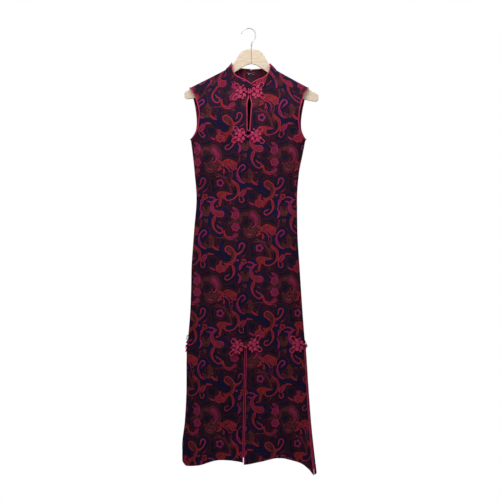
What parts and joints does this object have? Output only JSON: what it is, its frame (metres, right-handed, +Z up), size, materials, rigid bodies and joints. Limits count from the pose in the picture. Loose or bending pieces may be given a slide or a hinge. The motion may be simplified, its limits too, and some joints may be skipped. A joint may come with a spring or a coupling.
{
  "type": "cheongsam dress on a hanger",
  "caption": "Sleeveless full-length cheongsam with standing collar, keyhole, butterfly frogs, side and front slits and back zip, hanging on a wooden hanger with a wire hook.",
  "frame": {"origin": "inner top of the hanger's wire hook, where a rod or nail holds it", "axes": "+Z up, +X to the right as the front is seen, the front faces -Y"},
  "size_m": [0.4564, 0.0938, 1.4995],
  "materials": {
    "printed_cloth": "printed scroll and flower pattern in magenta, red and brown on navy",
    "piping": "pink bias-cut satin piping",
    "frog_cord": "pink satin cord",
    "zip_tape": "dark zip tape and chain",
    "steel": "dull bright wire",
    "wood": "clear-varnished beech"
  },
  "bodies": {
    "dress": {"front": "printed_cloth", "back_left": "printed_cloth", "back_right": "printed_cloth", "collar_left": "printed_cloth", "collar_right": "printed_cloth", "piping_armhole_left": "piping", "piping_armhole_right": "piping", "piping_collar_left": "piping", "piping_collar_right": "piping", "piping_keyhole": "piping", "piping_slit_front_left": "piping", "piping_slit_front_right": "piping", "piping_slit_left_back": "piping", "piping_slit_left_front": "piping", "piping_slit_right_back": "piping", "piping_slit_right_front": "piping", "frog_collar_left": "frog_cord", "frog_collar_right": "frog_cord", "frog_collar_button": "frog_cord", "frog_keyhole_left": "frog_cord", "frog_keyhole_right": "frog_cord", "frog_keyhole_button": "frog_cord", "frog_slit_front_left": "frog_cord", "frog_slit_front_right": "frog_cord", "frog_slit_front_button": "frog_cord", "frog_slit_left_left": "frog_cord", "frog_slit_left_right": "frog_cord", "frog_slit_left_button": "frog_cord", "frog_slit_right_left": "frog_cord", "frog_slit_right_right": "frog_cord", "frog_slit_right_button": "frog_cord", "zip_tape": "zip_tape", "zip_chain": "zip_tape", "zip_slider": "steel", "collar_hook": "steel", "collar_eye": "steel", "hanger_hook": "steel", "hanger_left": "wood", "hanger_right": "wood"},
    "zip_pull": {"zip_pull": "steel"}
  },
  "joints": [
    {"name": "zip_pull_hinge", "type": "hinge", "parent": "dress", "child": "zip_pull", "pos_m": [0.003, 0.02181, -0.17323], "axis": [1, 0, 0], "range_deg": [0, 150]}
  ]
}
